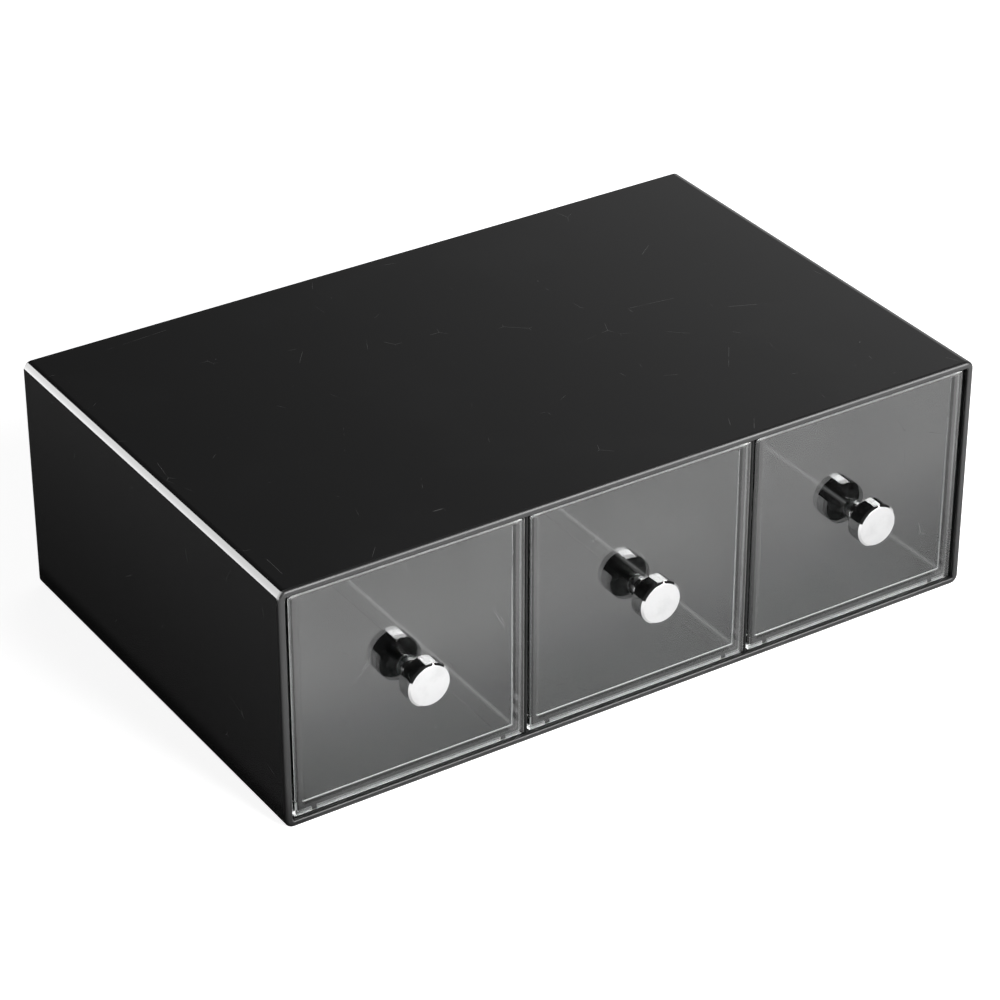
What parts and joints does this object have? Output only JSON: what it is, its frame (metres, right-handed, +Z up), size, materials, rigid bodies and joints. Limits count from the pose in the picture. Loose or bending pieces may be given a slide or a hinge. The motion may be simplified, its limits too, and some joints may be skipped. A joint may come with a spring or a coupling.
{
  "type": "drawer organizer",
  "caption": "Low gloss black countertop organizer: an open-front sleeve that holds clear pull-out drawers side by side, each opened by a small round chrome knob.",
  "frame": {"origin": "centre of the sleeve's underside, on the surface that it stands on", "axes": "+X to the right along the drawer fronts, +Y to the back, +Z up; the drawers pull out along -Y"},
  "size_m": [0.26, 0.1766, 0.085],
  "materials": {
    "black_gloss": "moulded gloss black with fine rub marks",
    "clear_plastic": "clear moulded plastic, polished, lightly scuffed",
    "chrome": "bright plated",
    "zinc_steel": "zinc plated"
  },
  "bodies": {
    "case": {"case": "black_gloss", "divider_left": "black_gloss", "divider_right": "black_gloss"},
    "drawer_left": {"drawer_left": "clear_plastic", "knob_left": "chrome", "knob_screw_left": "zinc_steel", "knob_washer_left": "zinc_steel"},
    "drawer_middle": {"drawer_middle": "clear_plastic", "knob_middle": "chrome", "knob_screw_middle": "zinc_steel", "knob_washer_middle": "zinc_steel"},
    "drawer_right": {"drawer_right": "clear_plastic", "knob_right": "chrome", "knob_screw_right": "zinc_steel", "knob_washer_right": "zinc_steel"}
  },
  "joints": [
    {"name": "drawer_left_slide", "type": "slide", "parent": "case", "child": "drawer_left", "axis": [0, -1, 0], "range_m": [0, 0.12]},
    {"name": "drawer_middle_slide", "type": "slide", "parent": "case", "child": "drawer_middle", "axis": [0, -1, 0], "range_m": [0, 0.12]},
    {"name": "drawer_right_slide", "type": "slide", "parent": "case", "child": "drawer_right", "axis": [0, -1, 0], "range_m": [0, 0.12]}
  ]
}
